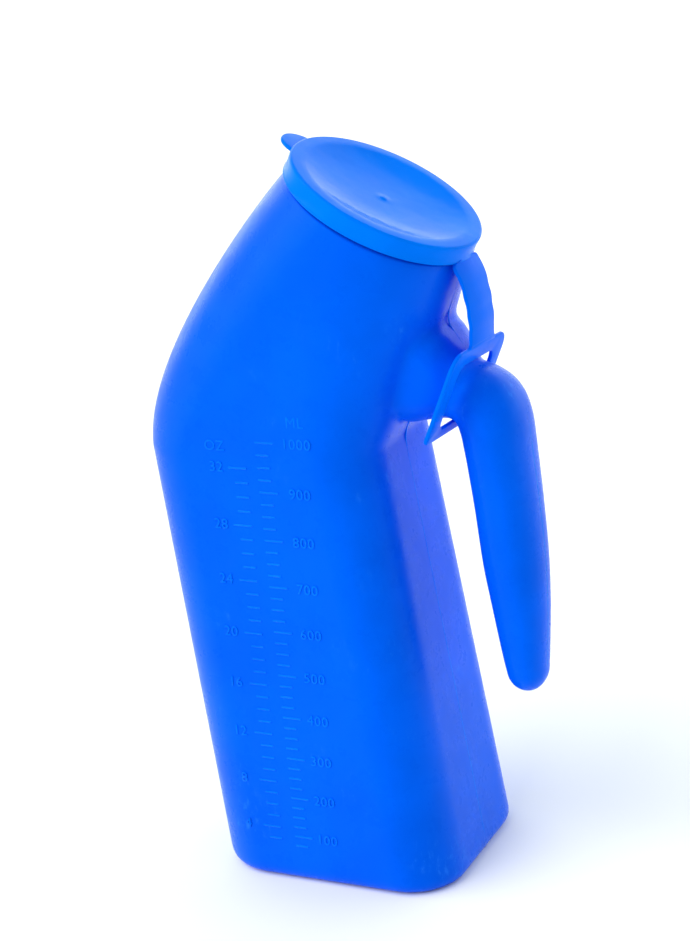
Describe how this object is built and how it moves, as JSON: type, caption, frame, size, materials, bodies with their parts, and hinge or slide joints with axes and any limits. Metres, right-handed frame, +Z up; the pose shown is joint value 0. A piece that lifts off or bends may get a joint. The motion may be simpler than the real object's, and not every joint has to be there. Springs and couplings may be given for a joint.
{
  "type": "urine bottle",
  "caption": "Free-standing male urine bottle with a rectangular foot, a neck bent back towards a hollow hanging grip, and a snap lid tethered to the grip's stem by a flexible strap.",
  "frame": {"origin": "centre of the whole object's bounding box, on the surface that the foot stands on", "axes": "+Z up from the foot to the lid, +X from the body towards the grip, +Y sideways across the grip"},
  "size_m": [0.1374, 0.0792, 0.2616],
  "materials": {
    "bottle_plastic": "satin blow-moulded polyethylene, blue",
    "lid_plastic": "glossier injection-moulded polyethylene, blue"
  },
  "bodies": {
    "bottle": {"bottle_shell": "bottle_plastic"},
    "loop": {"tether_loop": "lid_plastic"},
    "strap_1": {"strap_link_1": "lid_plastic"},
    "strap_2": {"strap_link_2": "lid_plastic"},
    "strap_3": {"strap_link_3": "lid_plastic"},
    "strap_4": {"strap_link_4": "lid_plastic"},
    "lid": {"lid_cap": "lid_plastic"}
  },
  "joints": [
    {"name": "loop_tilt", "type": "hinge", "parent": "bottle", "child": "loop", "pos_m": [0.04807, 0, 0.18742], "axis": [0, 1, 0], "range_deg": [0, 3.5]},
    {"name": "strap_bend_1", "type": "hinge", "parent": "loop", "child": "strap_1", "pos_m": [0.05014, 0, 0.1938], "axis": [0, 1, 0], "range_deg": [0, 24]},
    {"name": "strap_bend_2", "type": "hinge", "parent": "strap_1", "child": "strap_2", "pos_m": [0.05055, 0, 0.20036], "axis": [0, 1, 0], "range_deg": [0, 24]},
    {"name": "strap_bend_3", "type": "hinge", "parent": "strap_2", "child": "strap_3", "pos_m": [0.05026, 0, 0.20685], "axis": [0, 1, 0], "range_deg": [0, 24]},
    {"name": "strap_bend_4", "type": "hinge", "parent": "strap_3", "child": "strap_4", "pos_m": [0.04927, 0, 0.21327], "axis": [0, 1, 0], "range_deg": [0, 24]},
    {"name": "lid_hinge", "type": "hinge", "parent": "strap_4", "child": "lid", "pos_m": [0.04759, 0, 0.21962], "axis": [0, 1, 0], "range_deg": [0, 84]}
  ],
  "couplings": [
    {"joint": "loop_tilt", "follows": "strap_bend_1", "ratio": 0.1458},
    {"joint": "strap_bend_2", "follows": "strap_bend_1", "ratio": 1},
    {"joint": "strap_bend_3", "follows": "strap_bend_1", "ratio": 1},
    {"joint": "strap_bend_4", "follows": "strap_bend_1", "ratio": 1},
    {"joint": "lid_hinge", "follows": "strap_bend_1", "ratio": 3.5}
  ]
}
